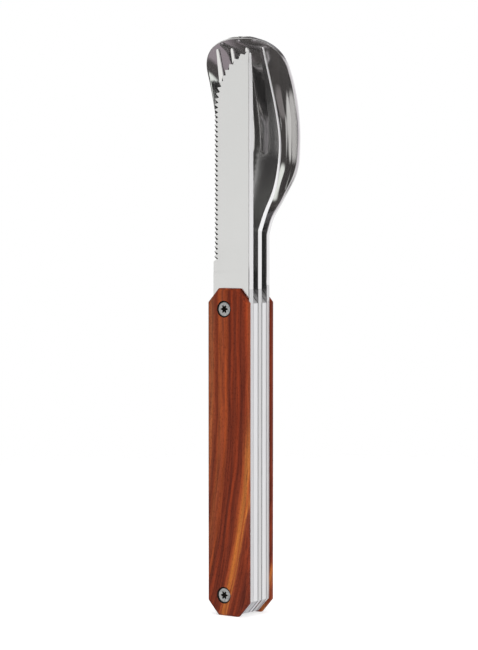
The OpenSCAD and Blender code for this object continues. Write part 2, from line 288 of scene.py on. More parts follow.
def applied(obj, smooth_angle=None):
    """The object with its modifiers made into mesh."""
    graph = bpy.context.evaluated_depsgraph_get()
    graph.update()
    mesh = bpy.data.meshes.new_from_object(obj.evaluated_get(graph), depsgraph=graph)
    obj.modifiers.clear()
    obj.data = mesh
    mesh.shade_smooth()
    if smooth_angle is not None:
        mesh.set_sharp_from_angle(angle=math.radians(smooth_angle))
    return obj


def bevel(obj, width, angle=25):
    """Rounds the object's sharp edges, by width in millimetres."""
    tool = obj.modifiers.new("edges", "BEVEL")
    tool.width = width * MM
    tool.segments = 3
    tool.limit_method = "ANGLE"
    tool.angle_limit = math.radians(angle)
    tool.use_clamp_overlap = True
    return applied(obj)


def cut(obj, cutters, smooth_angle=35):
    """Takes the cutters away from the object."""
    for cutter in cutters:
        tool = obj.modifiers.new("cut", "BOOLEAN")
        tool.operation = "DIFFERENCE"
        tool.solver = "EXACT"
        tool.material_mode = "INDEX"
        tool.object = cutter
    applied(obj, smooth_angle)
    for cutter in cutters:
        bpy.data.objects.remove(cutter)
    return obj


def lathe(name, profile, place, turn_x, steps=64, lobes=0.0):
    """A turned solid, or with lobes a six-lobed one.

    The profile is (radius, height) pairs from axis to axis, with heights along the turned +Z.
    """
    points, faces = [], []
    for r, h in profile:
        for k in range(steps):
            a = 2 * math.pi * k / steps
            rr = r * (1 + lobes * math.cos(6 * a))
            points.append((rr * math.cos(a), rr * math.sin(a), h))
    for i in range(len(profile) - 1):
        a, b = i * steps, (i + 1) * steps
        for k in range(steps):
            n = (k + 1) % steps
            faces.append((a + k, a + n, b + n, b + k))
    faces.append(tuple(range(steps))[::-1])
    top = (len(profile) - 1) * steps
    faces.append(tuple(range(top, top + steps)))
    spin = Matrix.Translation(Vector(place)) @ Matrix.Rotation(turn_x, 4, "X")
    return make_object(name, [spin @ Vector(p) for p in points], faces, 35)


def second_material(cutter):
    """Makes what the cutter cuts take the second material of the object that it cuts."""
    for face in cutter.data.polygons:
        face.material_index = 1
    return cutter


def mark(obj, index, chosen):
    """Gives some faces the object's material of that number; chosen looks at normal and centre."""
    for face in obj.data.polygons:
        if chosen(face.normal, face.center / MM):
            face.material_index = index


def on_handle_side(normal, centre):
    """True for the side walls of a plate inside the handle."""
    return abs(normal.x) > SIDEWAYS and centre.z < HANDLE_L


def on_handle_front_edge(normal, centre):
    """True for the round front edges of a plate inside the handle."""
    return abs(normal.x) > 0.1 and normal.y < -0.1 and centre.z < HANDLE_L


def prism(name, outline, y_low, y_high):
    """A flat outline in X and Z made into a plate."""
    n = len(outline)
    points = [(x, y, z) for y in (y_low, y_high) for x, z in outline]
    faces = [tuple(range(n)), tuple(range(n, 2 * n))[::-1]]
    faces += [(i, (i + 1) % n, n + (i + 1) % n, n + i) for i in range(n)]
    return make_object(name, points, faces)


def grid_faces(rows, columns):
    """Faces of a grid of points that are numbered row by row."""
    faces = []
    for i in range(rows - 1):
        for a in range(i * columns, (i + 1) * columns - 1):
            faces.append((a, a + 1, a + columns + 1, a + columns))
    return faces


def open_edges(faces):
    """The edges that only one face has, in the direction in which that face has them."""
    used = {}
    for f in faces:
        for a, b in zip(f, f[1:] + f[:1]):
            used.setdefault((min(a, b), max(a, b)), []).append((a, b))
    return [edges[0] for edges in used.values() if len(edges) == 1]


def shell_from_sheet(name, front, back, faces):
    """A closed solid from a sheet's front and back points: the open rims are joined by a wall."""
    n = len(front)
    solid = list(faces) + [tuple(n + i for i in reversed(f)) for f in faces]
    solid += [(b, a, n + a, n + b) for a, b in open_edges(faces)]
    return make_object(name, np.concatenate([front, back]), solid)


# ---- The wooden scales ----

def countersink(name, z, x, outer_y, side):
    """The cutter for a screw's hole: a cone that opens at the outer face, with a small round lip."""
    face_r, lip, deep = SCREW_FACE_R, 0.05, 4.0
    profile = [
        (AXIS_R, -PAST), (face_r + lip, -PAST), (face_r + lip, 0.0), (face_r, lip), (face_r, SCREW_SUNK),
        (SCREW_HOLE_R, SCREW_SUNK + face_r - SCREW_HOLE_R), (SCREW_HOLE_R, deep), (AXIS_R, deep),
    ]
    return second_material(lathe(name, profile, (x, outer_y, z), -side * math.pi / 2))


def make_scale(name, node, screws, outer_y, side):
    """A wooden scale: a slab with cut corners, a bevel round its outer face and two screw holes."""
    inner_y = outer_y + side * (KNIFE_Y - FRONT_Y)
    wide, narrow = handle_outline(0), handle_outline(WOOD_BEVEL)
    n = len(wide)
    points = [(x, outer_y, z) for x, z in narrow]
    points += [(x, outer_y + side * WOOD_BEVEL, z) for x, z in wide]
    points += [(x, inner_y, z) for x, z in wide]
    faces = [tuple(range(n)), tuple(range(2 * n, 3 * n))]
    for row in (0, n):
        faces += [(row + i, row + (i + 1) % n, row + n + (i + 1) % n, row + n + i) for i in range(n)]
    obj = bevel(make_object(name, points, faces), WOOD_ROUND)
    holes = []
    for s in screws:
        x, _, z = middle(s)
        holes.append(countersink(f"{s}_hole", z, x, outer_y, side))
    # the countersinks' walls take the second material, painted shade
    cut(obj, holes, 28)
    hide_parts(node)
    return obj


# ---- The spacers, with their pockets ----

def drill(name, node, y_low, y_high, radius):
    """A cutter along Y through the middle of a CAD node."""
    x, _, z = middle(node)
    profile = [(AXIS_R, 0), (radius, 0), (radius, y_high - y_low), (AXIS_R, y_high - y_low)]
    return lathe(name, profile, (x, y_low, z), -math.pi / 2, steps=48)


def drills(owner, node_start, y, thickness, radius):
    """Cutters right through a plate at the lower and the upper one of a pair of CAD nodes."""
    return [
        drill(f"{owner}_{p}", f"{node_start}_{p}", y - PAST, y + thickness + PAST, radius)
        for p in ("lower", "upper")
    ]


def make_spacer(name, node, body):
    """An aluminium bar with pockets for the magnets, and holes for the pins and screws."""
    low, high = box_mm(node)
    obj = bevel(prism(name, handle_outline(INSET), low[1], high[1]), METAL_ROUND, angle=60)
    # the joint with the fork opens and closes; the edges at that joint take almost black painted shade, the
    # other round edges a lighter painted shade of the seam with some dirt; the sawn upper end is rough
    joint_y = high[1] if body == "knife" else low[1]
    mark(obj, 3, lambda normal, centre: normal.z > 0.3)
    mark(obj, 2, lambda normal, centre: 0.1 < abs(normal.y) < 0.97)
    mark(obj, 1, lambda normal, centre: (
        0.1 < abs(normal.y) < 0.97 and abs(centre.y - joint_y) < METAL_ROUND
    ))
    cutters = []
    for place in ("lower", "middle", "upper"):
        magnet = f"{body}_magnet_{place}"
        m_low, m_high = box_mm(magnet)
        to_fork = abs(m_high[1] - high[1]) < abs(m_low[1] - low[1])
        y_low = m_low[1] if to_fork else low[1] - PAST
        y_high = high[1] + PAST if to_fork else m_high[1]
        radius = (m_high[0] - m_low[0]) / 2 + MAGNET_GAP
        cutters.append(drill(f"{magnet}_pocket", magnet, y_low, y_high, radius))
    for place in ("lower", "upper"):
        for kind, radius in (("pin", PIN_R), ("screw", THREAD_R)):
            node_there = f"{body}_{kind}_{place}"
            cutters.append(drill(f"{node_there}_hole", node_there, low[1] - PAST, high[1] + PAST, radius))
    cut(obj, cutters)
    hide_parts(node)
    return obj


# ---- Magnets, pins and screws ----

def make_disc(name, node, chamfer):
    """A magnet or a pin: a turned cylinder along Y with its edges broken."""
    low, high = box_mm(node)
    r, t = (high[0] - low[0]) / 2, high[1] - low[1]
    c = chamfer
    start = [(AXIS_R, 0), (r - c, 0), (r - 0.3 * c, 0.3 * c), (r, c)]
    profile = start + [(radius, t - height) for radius, height in reversed(start)]
    x, _, z = middle(node)
    obj = lathe(name, profile, (x, low[1], z), -math.pi / 2, steps=56)
    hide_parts(node)
    return obj


def make_screw(name, node, side):
    """A countersunk screw: a head with a broken rim and a six-lobed socket, and a threaded shank."""
    low, high = box_mm(node)
    x, _, z = middle(node)
    head_r = (high[0] - low[0]) / 2
    length = high[1] - low[1]
    start_y = low[1] if side > 0 else high[1]
    rim = 0.12
    profile = [(AXIS_R, 0), (head_r - 2.5 * rim, 0), (head_r - rim, 0.25 * rim)]
    profile += [(head_r - 0.3 * rim, 0.7 * rim), (head_r - 0.5 * rim, 1.5 * rim)]
    profile += [(THREAD_R, head_r - THREAD_R)]
    h = head_r - THREAD_R + 0.4
    while h < length - 1.2 * THREAD_PITCH:
        root = (THREAD_R - THREAD_T, h + 0.45 * THREAD_PITCH)
        profile += [(THREAD_R, h), root, (THREAD_R, h + 0.9 * THREAD_PITCH)]
        h += THREAD_PITCH
    profile += [(THREAD_R - 0.3, length), (AXIS_R, length)]
    place, turn = (x, start_y, z), -side * math.pi / 2
    obj = lathe(name, profile, place, turn, steps=72)
    socket_r, socket_t = 1.12, 1.0
    mouth_r, cone_t = socket_r * 1.08, 0.25
    socket = [(AXIS_R, -PAST), (mouth_r, -PAST), (mouth_r, 0), (socket_r, 0.1), (socket_r, socket_t)]
    socket += [(AXIS_R, socket_t + cone_t)]
    cutter = lathe(f"{name}_socket", socket, place, turn, steps=72, lobes=0.25)
    # the socket's walls take the second material, painted shade
    cut(obj, [second_material(cutter)], 30)
    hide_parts(node)
    return obj


# ---- The fork ----

def fork_rows():
    """Heights of the fork's rows: along the handle, the head, the slots' round roots and the tips."""
    _, cz = cut_corner(INSET)
    foot = INSET + np.array([0, 0.05, 0.15, 0.4, 1.0, 2.0, 3.2, cz - 0.2, cz, cz + 0.3])
    handle = np.arange(INSET + cz + 2, FORK_NECK_Z - 3, 3.0)
    neck = np.arange(FORK_NECK_Z - 3, FORK_NECK_Z + 5, 0.35)
    head = np.arange(FORK_NECK_Z + 5, SLOT_Z - 1.3, 0.6)
    root_start = SLOT_Z - np.array([0.9, 0.55, 0.3, 0.12])
    arc = np.radians(np.arange(0, 91, 9))
    root = SLOT_Z + SLOT_R * (1 - np.cos(arc))
    tines = np.arange(root[-1] + 0.5, FORK_TIP_Z - TINE_TIP_ROUND - 0.3, 0.6)
    arc = np.radians(np.arange(0, 90, 8))
    tips = FORK_TIP_Z - TINE_TIP_ROUND + TINE_TIP_ROUND * np.sin(arc)
    return np.concatenate([foot, handle, neck, head, root_start, root, tines, tips])


def fork_share(z):
    """Share of the length of the fork's head at the height z."""
    return part_way(z, FORK_NECK_Z, FORK_TIP_Z)


def fork_middle_y(z):
    """Y of the middle of the fork's sheet."""
    u = fork_share(z)
    return FORK_Y + FORK_T / 2 + np.where(u > 0, smooth(FORK_STATIONS, u, 2), 0)


def fork_half_w(z):
    """Half width of the fork."""
    u = fork_share(z)
    return np.where(u > 0, smooth(FORK_STATIONS, u, 1), foot_half_w(z))


def fork_thickness(z):
    """Thickness of the fork's sheet, which is drawn thinner towards the tips."""
    return TINE_T + (FORK_T - TINE_T) * (1 - fork_share(z)) ** 2


def slot_half_w(z):
    """Half width of a slot between tines: a round root, then slowly wider up to the tips."""
    s = np.clip(z - SLOT_Z, 0, SLOT_R)
    arc = np.sqrt(np.maximum(SLOT_R ** 2 - (SLOT_R - s) ** 2, 0))
    along = np.clip((z - SLOT_Z - SLOT_R) / (FORK_TIP_Z - SLOT_Z - SLOT_R), 0, 1)
    return arc + along * (TINE_PITCH / 2 - TINE_TIP_HALF_W - SLOT_R)


def tine_edges(z):
    """Left and right edge of each of the four strips that become the tines."""
    w = fork_half_w(z)
    share = TINE_PITCH / float(fork_half_w(np.array([SLOT_Z]))[0])
    middle_x = TINE_PITCH if z > SLOT_Z else share * w
    gap = slot_half_w(z)
    lines = [(-w, -middle_x - gap), (-middle_x + gap, -gap), (gap, middle_x - gap), (middle_x + gap, w)]
    into = np.clip((z - FORK_TIP_Z + TINE_TIP_ROUND) / TINE_TIP_ROUND, 0, 1)
    narrow = math.sqrt(max(1 - into * into, 0))
    return [((a + b) / 2 - (b - a) / 2 * narrow, (a + b) / 2 + (b - a) / 2 * narrow) for a, b in lines]


def make_fork():
    """The fork: a bent sheet with four tines, its edges polished round."""
    rows = fork_rows()
    soft_y = soften(rows, fork_middle_y(rows), FORK_BEND_W)
    edge_w, inner = 0.5, 5
    count = len(edge_columns(10, edge_w, inner))
    points, rings = [], []
    for i, z in enumerate(rows):
        ring = []
        for a, b in tine_edges(float(z)):
            xs = a + edge_columns(b - a, edge_w, inner)
            ring.append(list(range(len(points), len(points) + count)))
            points += [(x, i) for x in xs]
        if z <= SLOT_Z:
            for k in range(3):
                ring[k + 1][0] = ring[k][-1]
        rings.append(ring)
    faces = []
    for low, high in zip(rings, rings[1:]):
        for k in range(4):
            for c in range(count - 1):
                faces.append((low[k][c], low[k][c + 1], high[k][c + 1], high[k][c]))
    x = np.array([p[0] for p in points])
    row = np.array([p[1] for p in points])
    used = np.zeros(len(points), bool)
    used[np.unique(np.array(faces))] = True
    flat = np.stack([x, rows[row]], axis=1)
    rim = [sorted(edge) for edge in open_edges(faces)]
    distance = distance_to_lines(flat, flat[[a for a, _ in rim]], flat[[b for _, b in rim]])
    z = rows[row]
    slope = np.gradient(soft_y, rows)[row]
    size = np.sqrt(1 + slope ** 2)
    normal = np.stack([np.zeros_like(x), 1 / size, -slope / size], axis=1)
    head = part_way(z, HANDLE_L, FORK_NECK_Z)
    radius = METAL_ROUND + (FORK_EDGE_ROUND - METAL_ROUND) * head
    half = fork_thickness(z) / 2 - rounded_edge(distance, radius)
    centre = np.stack([x, soft_y[row], z], axis=1)
    front = centre - half[:, None] * normal
    back = centre + half[:, None] * normal
    keep = np.cumsum(used) - 1
    faces = [tuple(int(keep[i]) for i in f) for f in faces]
    obj = shell_from_sheet("fork_polished", front[used], back[used], faces)
    # the head's outer sides and the handle's sides are satin, and the handle's front edge takes a dark
    # painted shade of the seam, with some dirt
    mark(obj, 1, lambda normal, centre: (
        abs(normal.x) > SIDEWAYS and centre.z > FORK_NECK_Z and abs(centre.x) > 0.97 * fork_half_w(centre.z)
    ))
    mark(obj, 2, on_handle_side)
    mark(obj, 3, on_handle_front_edge)
    cut(obj, drills("fork_hole", "knife_pin", FORK_Y, FORK_T, PIN_HOLE_R), 50)
    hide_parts("fork")
    return obj


# ---- The spoon ----

def spoon_share(z):
    """Share of the length of the spoon's bowl at the height z."""
    return part_way(z, SPOON_NECK_Z, SPOON_TIP_Z)


def spoon_half_w(z):
    """Half width of the spoon, with a round cap at the end of its bowl."""
    u = spoon_share(z)
    q = part_way(z, CAP_Z, SPOON_TIP_Z)
    closed = np.maximum(1 - q ** CAP_POWER, 0) ** (1 / CAP_POWER)
    return np.where(u > 0, smooth(SPOON_STATIONS, u, 1) * closed, foot_half_w(z))


def spoon_rows():
    """Heights of the spoon's rows, evenly spaced along its outline."""
    turn = np.radians(np.linspace(0.05, 90, 3000))
    cap = CAP_Z + (SPOON_TIP_Z - CAP_Z) * np.sin(turn) ** (2 / CAP_POWER)
    z = np.concatenate([np.linspace(INSET, CAP_Z, 3000), cap])
    w = spoon_half_w(z)
    along = np.concatenate([[0], np.cumsum(np.hypot(np.diff(z), np.diff(w)))])
    neck = np.interp(SPOON_NECK_Z - 3, z, along)
    handle = np.linspace(0, neck, 45)
    bowl = np.linspace(neck, along[-1] - 0.15, 150)[1:]
    near_foot = np.array([0.05, 0.15, 0.4])
    at = np.sort(np.concatenate([handle, bowl, near_foot, along[-1] - np.array([0.05, 0.0])]))
    return np.interp(at, along, z)


def bowl_surface(z, v, lines):
    """Inside of the bowl at heights z and shares v across it.

    The lines are heights, and the softened set-back of the rim and depth of the hollow at each.
    """
    rows, rim, depth = lines
    across = 1 - np.abs(v) ** HOLLOW_POWER
    return np.stack([
        v * spoon_half_w(z),
        SPOON_Y + np.interp(z, rows, rim) + np.interp(z, rows, depth) * across,
        z,
    ], axis=-1)


def make_spoon():
    """The spoon: a flat handle that bends into a deep bowl with a rounded rim."""
    rows = spoon_rows()
    fine = np.linspace(INSET, SPOON_TIP_Z, 6000)
    rim_y, depth = (
        soften(fine, smooth(SPOON_STATIONS, spoon_share(fine), column), SPOON_BEND_W) for column in (2, 3)
    )
    depth[fine < SPOON_NECK_Z] = 0
    lines = (fine, rim_y, depth)
    edge_w, inner = 0.9, 34
    count = len(edge_columns(30, edge_w, inner))
    grid = []
    for z in rows:
        w = max(float(spoon_half_w(np.array([z]))[0]), 0.02)
        grid.append(edge_columns(2 * w, edge_w, inner) / w - 1)
    v = np.array(grid)
    z = np.repeat(rows[:, None], count, axis=1)
    inside = bowl_surface(z, v, lines)
    dv, dz = 0.01, 0.02
    z_low = np.clip(z - dz, INSET, SPOON_TIP_Z - 0.03)
    z_high = np.clip(z + dz, INSET + dz, SPOON_TIP_Z)
    over = bowl_surface(z, v + dv, lines) - bowl_surface(z, v - dv, lines)
    along = bowl_surface(z_high, v, lines) - bowl_surface(z_low, v, lines)
    normal = np.cross(along, over)
    normal /= np.maximum(np.linalg.norm(normal, axis=2, keepdims=True), 1e-9)
    normal[-3:] = normal[-4]
    share = spoon_share(z)
    thick = BOWL_T + (SPOON_T - BOWL_T) * (1 - share) ** 4
    # the rim was cut straight through before the bowl was pressed, so its end face turns outwards
    at_rim = np.clip((np.abs(v) - 0.8) / 0.2, 0, 1)[..., None] * np.clip(share / 0.2, 0, 1)[..., None]
    through = normal + RIM_TURN * at_rim * np.array([0.0, 1.0, 0.0])
    through /= np.linalg.norm(through, axis=2, keepdims=True)
    index = np.arange(len(rows) * count).reshape(len(rows), count)
    loop = np.concatenate([index[0], index[1:, -1], index[-1, -2::-1], index[-2:0:-1, 0]])
    flat = inside.reshape(-1, 3)
    distance = distance_to_lines(flat, flat[loop], flat[np.roll(loop, -1)])
    head = part_way(z.ravel(), HANDLE_L, SPOON_NECK_Z)
    radius = METAL_ROUND + (RIM_ROUND - METAL_ROUND) * head
    fall = rounded_edge(distance, radius)[:, None]
    n = through.reshape(-1, 3)
    front = flat + fall * n
    back = flat + (thick.reshape(-1, 1) - fall) * n
    obj = shell_from_sheet("spoon_polished", front, back, grid_faces(len(rows), count))
    mark(obj, 1, on_handle_side)
    # the front edges inside the handle take painted shade of the seam, with some dirt
    mark(obj, 2, on_handle_front_edge)
    cut(obj, drills("spoon_hole", "spoon_screw", SPOON_Y, SPOON_T, SCREW_HOLE_R), 50)
    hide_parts("spoon")
    return obj


# ---- The knife ----

def belly_point(t):
    """Point of the curved edge that leads to the tip, t from 0 to 1, in X and Z."""
    a, b = np.array([-EDGE_X, BELLY_Z]), np.array([-EDGE_X, BELLY_Z + 9])
    c, d = np.array([-2.45, BLADE_TIP_Z - 3.6]), np.array([METAL_W - 0.5, BLADE_TIP_Z])
    return (1 - t) ** 3 * a + 3 * (1 - t) ** 2 * t * b + 3 * (1 - t) * t * t * c + t ** 3 * d


def belly_normal(t):
    """Direction into the blade at a point of the curved edge."""
    d = belly_point(t + 0.01) - belly_point(t - 0.01)
    return np.array([d[1], -d[0]]) / np.linalg.norm(d)


# One notch between two teeth: share of the pitch, share of the depth
NOTCH = [
    (0.0, 0.0), (0.14, 0.3), (0.28, 0.68), (0.37, 0.93),
    (0.45, 1.0), (0.54, 0.9), (0.68, 0.62), (0.84, 0.3),
]
# On the blade's back the notches are shallower and lower, because their wheel is tilted
BACK_NOTCH = 0.35
BACK_LAG = 0.26


def knife_edge(depth_share, lag=0.0):
    """The toothed edge in X and Z, from the ricasso to the tip; a smaller share makes flatter teeth.

    The lag moves the teeth down, in shares of their pitch.
    """
    straight = round((BELLY_Z - EDGE_START_Z) / TOOTH_PITCH)
    pitch = (BELLY_Z - EDGE_START_Z) / straight
    line = []
    for k in range(straight):
        for along, deep in NOTCH:
            up = k + along - lag * min(k + along, 1)
            line.append((-EDGE_X + depth_share * TOOTH_DEPTH * deep, EDGE_START_Z + up * pitch))
    for k in range(CURVED_TEETH):
        for along, deep in NOTCH:
            s = (k + along - lag) / CURVED_TEETH
            # the teeth get longer and flatter towards the tip
            t = s * (0.71 + 0.29 * s)
            depth = depth_share * deep * TOOTH_DEPTH * (1 - 0.35 * t)
            line.append(tuple(belly_point(t) + depth * belly_normal(t)))
    line.append(tuple(belly_point(1.0)))
    return np.array(line)


def ease(share):
    """A share from 0 to 1, eased at both ends."""
    s = np.clip(share, 0, 1)
    return s * s * (3 - 2 * s)


def knife_faces_y(x, z):
    """Y of the blade's front and back: flat at the tang, ground thinner towards its edge and tip."""
    plunge = PLUNGE_LEFT_Z + (PLUNGE_RIGHT_Z - PLUNGE_LEFT_Z) * (x + METAL_W) / (2 * METAL_W)
    towards_edge = (METAL_W - x) / (METAL_W + EDGE_X)
    ground = ease((z - plunge) / PLUNGE_W + 0.5) * towards_edge
    softly = ease((z - plunge) / PLUNGE_SOFT_W) * towards_edge
    taper = np.interp(z, *zip(*TAPER))
    low_share = np.clip((SPINE_BEVEL_Z - z) / SPINE_BEVEL_RAMP, 0, 1)
    depth = SPINE_BEVEL_T + SPINE_BEVEL_MORE_T * low_share
    spine_bevel = depth * np.clip((x - METAL_W + SPINE_BEVEL_W) / SPINE_BEVEL_W, 0, 1)
    front = KNIFE_Y + (GRIND_FRONT - GRIND_STEP) * softly + GRIND_STEP * ground + spine_bevel
    above_ricasso = np.clip((z - EDGE_START_Z + 1) / 2, 0, 1)
    near_edge = np.clip((TOOTH_BEVEL_W - EDGE_X - x) / TOOTH_BEVEL_W, 0, 1) * above_ricasso
    back = KNIFE_Y + KNIFE_T - GRIND_BACK * ground - taper - TOOTH_BEVEL_T * near_edge
    return front, np.maximum(back, front + BLADE_MIN_T)


def make_knife():
    """The knife's steel: tang, ricasso and a toothed blade whose notches are ground from the front."""
    cx, cz = cut_corner(INSET)
    w, foot, shoulder = METAL_W, INSET + cz, HANDLE_L - 4.5
    left_start = [(-w + cx, INSET), (-w, foot), (-w, shoulder), (-RICASSO_X, HANDLE_L - 3)]
    right_start = [(w - cx, INSET), (w, foot), (w, shoulder), (w, HANDLE_L - 3)]
    spread = np.linspace(HANDLE_L - 2, EDGE_START_Z - 0.3, 26)
    left_start += [(-RICASSO_X, z) for z in spread]
    right_start += [(w, z) for z in spread]
    heights = [EDGE_START_Z, BELLY_Z, BLADE_TIP_Z]
    on_spine = np.interp(knife_edge(0.0)[:, 1], heights, heights[:2] + [BLADE_TIP_Z - SPINE_DROP])
    right = np.array(right_start + [(w, z) for z in on_spine])
    sheets = []
    for share, lag in ((1.0, 0.0), (BACK_NOTCH, BACK_LAG)):
        left = np.array(left_start + [tuple(p) for p in knife_edge(share, lag)])
        sheets.append((left, right))
    shares = np.array([0.0, 0.02, 0.06, 0.16, 0.3, 0.5, 0.7, 0.86, 0.96, 0.985, 1.0])
    layers = []
    for k, (left, right) in enumerate(sheets):
        across = shares[None, :, None]
        xz = left[:, None, :] * (1 - across) + right[:, None, :] * across
        y = knife_faces_y(xz[..., 0], xz[..., 1])[k]
        layers.append(np.stack([xz[..., 0], y, xz[..., 1]], axis=-1))
    rows, columns = layers[0].shape[:2]
    front, back = (layer.reshape(-1, 3) for layer in layers)
    obj = shell_from_sheet("knife_steel", front, back, grid_faces(rows, columns))
    # the lower flank of every tooth faces down and is painted near black as shade; only the walls between
    # the two sheets are this deep
    wall_t = 0.3 * MM
    for face in obj.data.polygons:
        ys = [obj.data.vertices[v].co.y for v in face.vertices]
        wall = max(ys) - min(ys) > wall_t and face.normal.x < 0.5
        if wall and face.center.z > EDGE_START_Z * MM and face.normal.z < 0.12:
            face.material_index = 1
    # the tang's sides and the spine above the handle have their own finishes; the blade's back takes a
    # darker copy of the blade's steel, painted shade where it faces the fork
    mark(obj, 2, on_handle_side)
    mark(obj, 3, lambda normal, centre: (
        normal.x > 0.9 and centre.x > 0.99 * METAL_W and centre.z > HANDLE_L
    ))
    mark(obj, 4, lambda normal, centre: normal.y > 0.8 and centre.z > HANDLE_L)
    obj.data.set_sharp_from_angle(angle=math.radians(24))
    cut(obj, drills("knife_hole", "knife_screw", KNIFE_Y, KNIFE_T, SCREW_HOLE_R), 24)
    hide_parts("knife_blade")
    return obj


# ---- Materials ----

class Tree:
    """A node tree's nodes, with the calls that make a node and link two sockets."""

    def __init__(self, tree):
        self.nodes = tree.nodes
        self.new = tree.nodes.new
        self.link = tree.links.new


def put(node, **values):
    """Sets the node's inputs by name, with _ for a space."""
    for name, value in values.items():
        node.inputs[name.replace("_", " ")].default_value = value


def new_material(name, metallic, roughness):
    """A node material: returns it, its tree and its main shader."""
    material = bpy.data.materials.new(name)
    material.use_nodes = True
    t = Tree(material.node_tree)
    shader = t.nodes["Principled BSDF"]
    put(shader, Metallic=metallic, Roughness=roughness)
    return material, t, shader


def stretched_place(t, scale):
    """The object's own coordinates in millimetres, scaled: small numbers stretch a pattern."""
    coordinates = t.new("ShaderNodeTexCoord")
    mapping = t.new("ShaderNodeMapping")
    put(mapping, Scale=tuple(s / MM for s in scale))
    t.link(coordinates.outputs["Object"], mapping.inputs["Vector"])
    return mapping.outputs["Vector"]


def noise(t, place, detail, rough, distortion=0.0):
    """A noise pattern at a place."""
    n = t.new("ShaderNodeTexNoise")
    put(n, Scale=1.0, Detail=detail, Roughness=rough, Distortion=distortion)
    t.link(place, n.inputs["Vector"])
    return n.outputs["Fac"]


def ramp(t, value, stops):
    """A colour ramp: stops are (place, colour)."""
    r = t.new("ShaderNodeValToRGB")
    while len(r.color_ramp.elements) < len(stops):
        r.color_ramp.elements.new(0.5)
    for element, (at, colour) in zip(r.color_ramp.elements, stops):
        element.position = at
        element.color = (*colour, 1)
    t.link(value, r.inputs["Fac"])
    return r.outputs["Color"]


def grey(level):
    """A neutral colour."""
    return (level, level, level)


def mix(t, kind, factor, a, b):
    """Mixes two colours; each input is a socket or a value."""
    m = t.new("ShaderNodeMix")
    m.data_type = "RGBA"
    m.blend_type = kind
    sockets = {"Factor": m.inputs[0], "A": m.inputs[6], "B": m.inputs[7]}
    for key, value in (("Factor", factor), ("A", a), ("B", b)):
        if isinstance(value, bpy.types.NodeSocket):
            t.link(value, sockets[key])
        elif key == "Factor":
            sockets[key].default_value = value
        else:
            sockets[key].default_value = (*value, 1)
    return m.outputs[2]


def add_bump(t, shader, height, distance, strength):
    """Bumps on the shader, from a height pattern; the distance is in millimetres."""
    b = t.new("ShaderNodeBump")
    put(b, Strength=strength, Distance=distance * MM)
    t.link(height, b.inputs["Height"])
    t.link(b.outputs["Normal"], shader.inputs["Normal"])


def math_node(t, kind, a, b=0.0, clamp=False):
    """One sum; each input is a socket or a number."""
    m = t.new("ShaderNodeMath")
    m.operation = kind
    m.use_clamp = clamp
    for socket, value in zip(m.inputs, (a, b)):
        if isinstance(value, bpy.types.NodeSocket):
            t.link(value, socket)
        else:
            socket.default_value = value
    return m.outputs[0]


def grain_place(t, shift):
    """A place on the grain, the distance across it, both in mm, and a share that grows downwards.

    The grain is straight at the top and swept to the left at the foot.
    """
    coordinates = t.new("ShaderNodeTexCoord")
    parts = t.new("ShaderNodeSeparateXYZ")
    t.link(coordinates.outputs["Object"], parts.inputs[0])
    x, y, z = (math_node(t, "MULTIPLY", parts.outputs[axis], 1 / MM) for axis in "XYZ")
    up = math_node(t, "DIVIDE", z, SWEEP_END_Z)
    low = math_node(t, "SUBTRACT", 1.0, up, clamp=True)
    sweep = math_node(t, "MULTIPLY", math_node(t, "POWER", low, SWEEP_POWER), SWEEP_X)
    wave = noise(t, stretched_place(t, (0.12, 0.12, 0.04)), 2.0, 0.5)
    wave = math_node(t, "MULTIPLY", math_node(t, "SUBTRACT", wave, 0.5), 1.8)
    x = math_node(t, "ADD", math_node(t, "ADD", x, sweep), wave)
    x = math_node(t, "ADD", x, shift)
    whole = t.new("ShaderNodeCombineXYZ")
    for value, socket in zip((x, y, z), whole.inputs):
        t.link(value, socket)
    return whole.outputs[0], x, low


def scaled(t, place, scale):
    """A place with its three axes scaled."""
    mapping = t.new("ShaderNodeMapping")
    put(mapping, Scale=scale)
    t.link(place, mapping.inputs["Vector"])
    return mapping.outputs["Vector"]


# How far the grain is swept to the side at the foot of the handle, and where it becomes straight
SWEEP_X = 11.5
SWEEP_END_Z = 85.0
SWEEP_POWER = 2.4

# The wood's colours
DARK = (0.108, 0.019, 0.009)
DEEP = (0.140, 0.024, 0.010)
RED = (0.178, 0.028, 0.010)
BROWN = (0.185, 0.040, 0.017)
ORANGE = (0.245, 0.055, 0.017)
BRIGHT = (0.300, 0.055, 0.014)
TAN = (0.260, 0.075, 0.028)
GOLD = (0.335, 0.105, 0.024)

# The plank's broad streaks: place across the grain in mm, colour
STREAKS = [
    (-9.0, BROWN), (-6.8, TAN), (-5.6, BROWN), (-4.4, DEEP), (-3.2, ORANGE), (-1.7, BROWN), (-0.4, BRIGHT),
    (0.8, DARK), (2.0, RED), (3.4, DEEP), (4.4, RED), (5.9, DARK), (6.9, DEEP),
]
SAPWOOD = [(8.1, ORANGE), (8.9, GOLD), (9.8, GOLD), (10.3, ORANGE), (10.8, GOLD), (11.3, BROWN)]
FAR_STREAKS = [
    (12.4, DEEP), (14.5, RED), (16.5, DARK), (20.0, DEEP), (22.4, RED), (23.4, GOLD),
    (25.0, BROWN), (28.0, DEEP),
]
# What stands for the sapwood at the top of the handle
HEARTWOOD = [(8.0, RED), (8.9, ORANGE), (11.0, BROWN)]


def streaked(t, x, streaks):
    """Colours across the grain, from places in mm."""
    first, last = streaks[0][0], streaks[-1][0]
    share = math_node(t, "DIVIDE", math_node(t, "SUBTRACT", x, first), last - first)
    return ramp(t, share, [((at - first) / (last - first), colour) for at, colour in streaks])


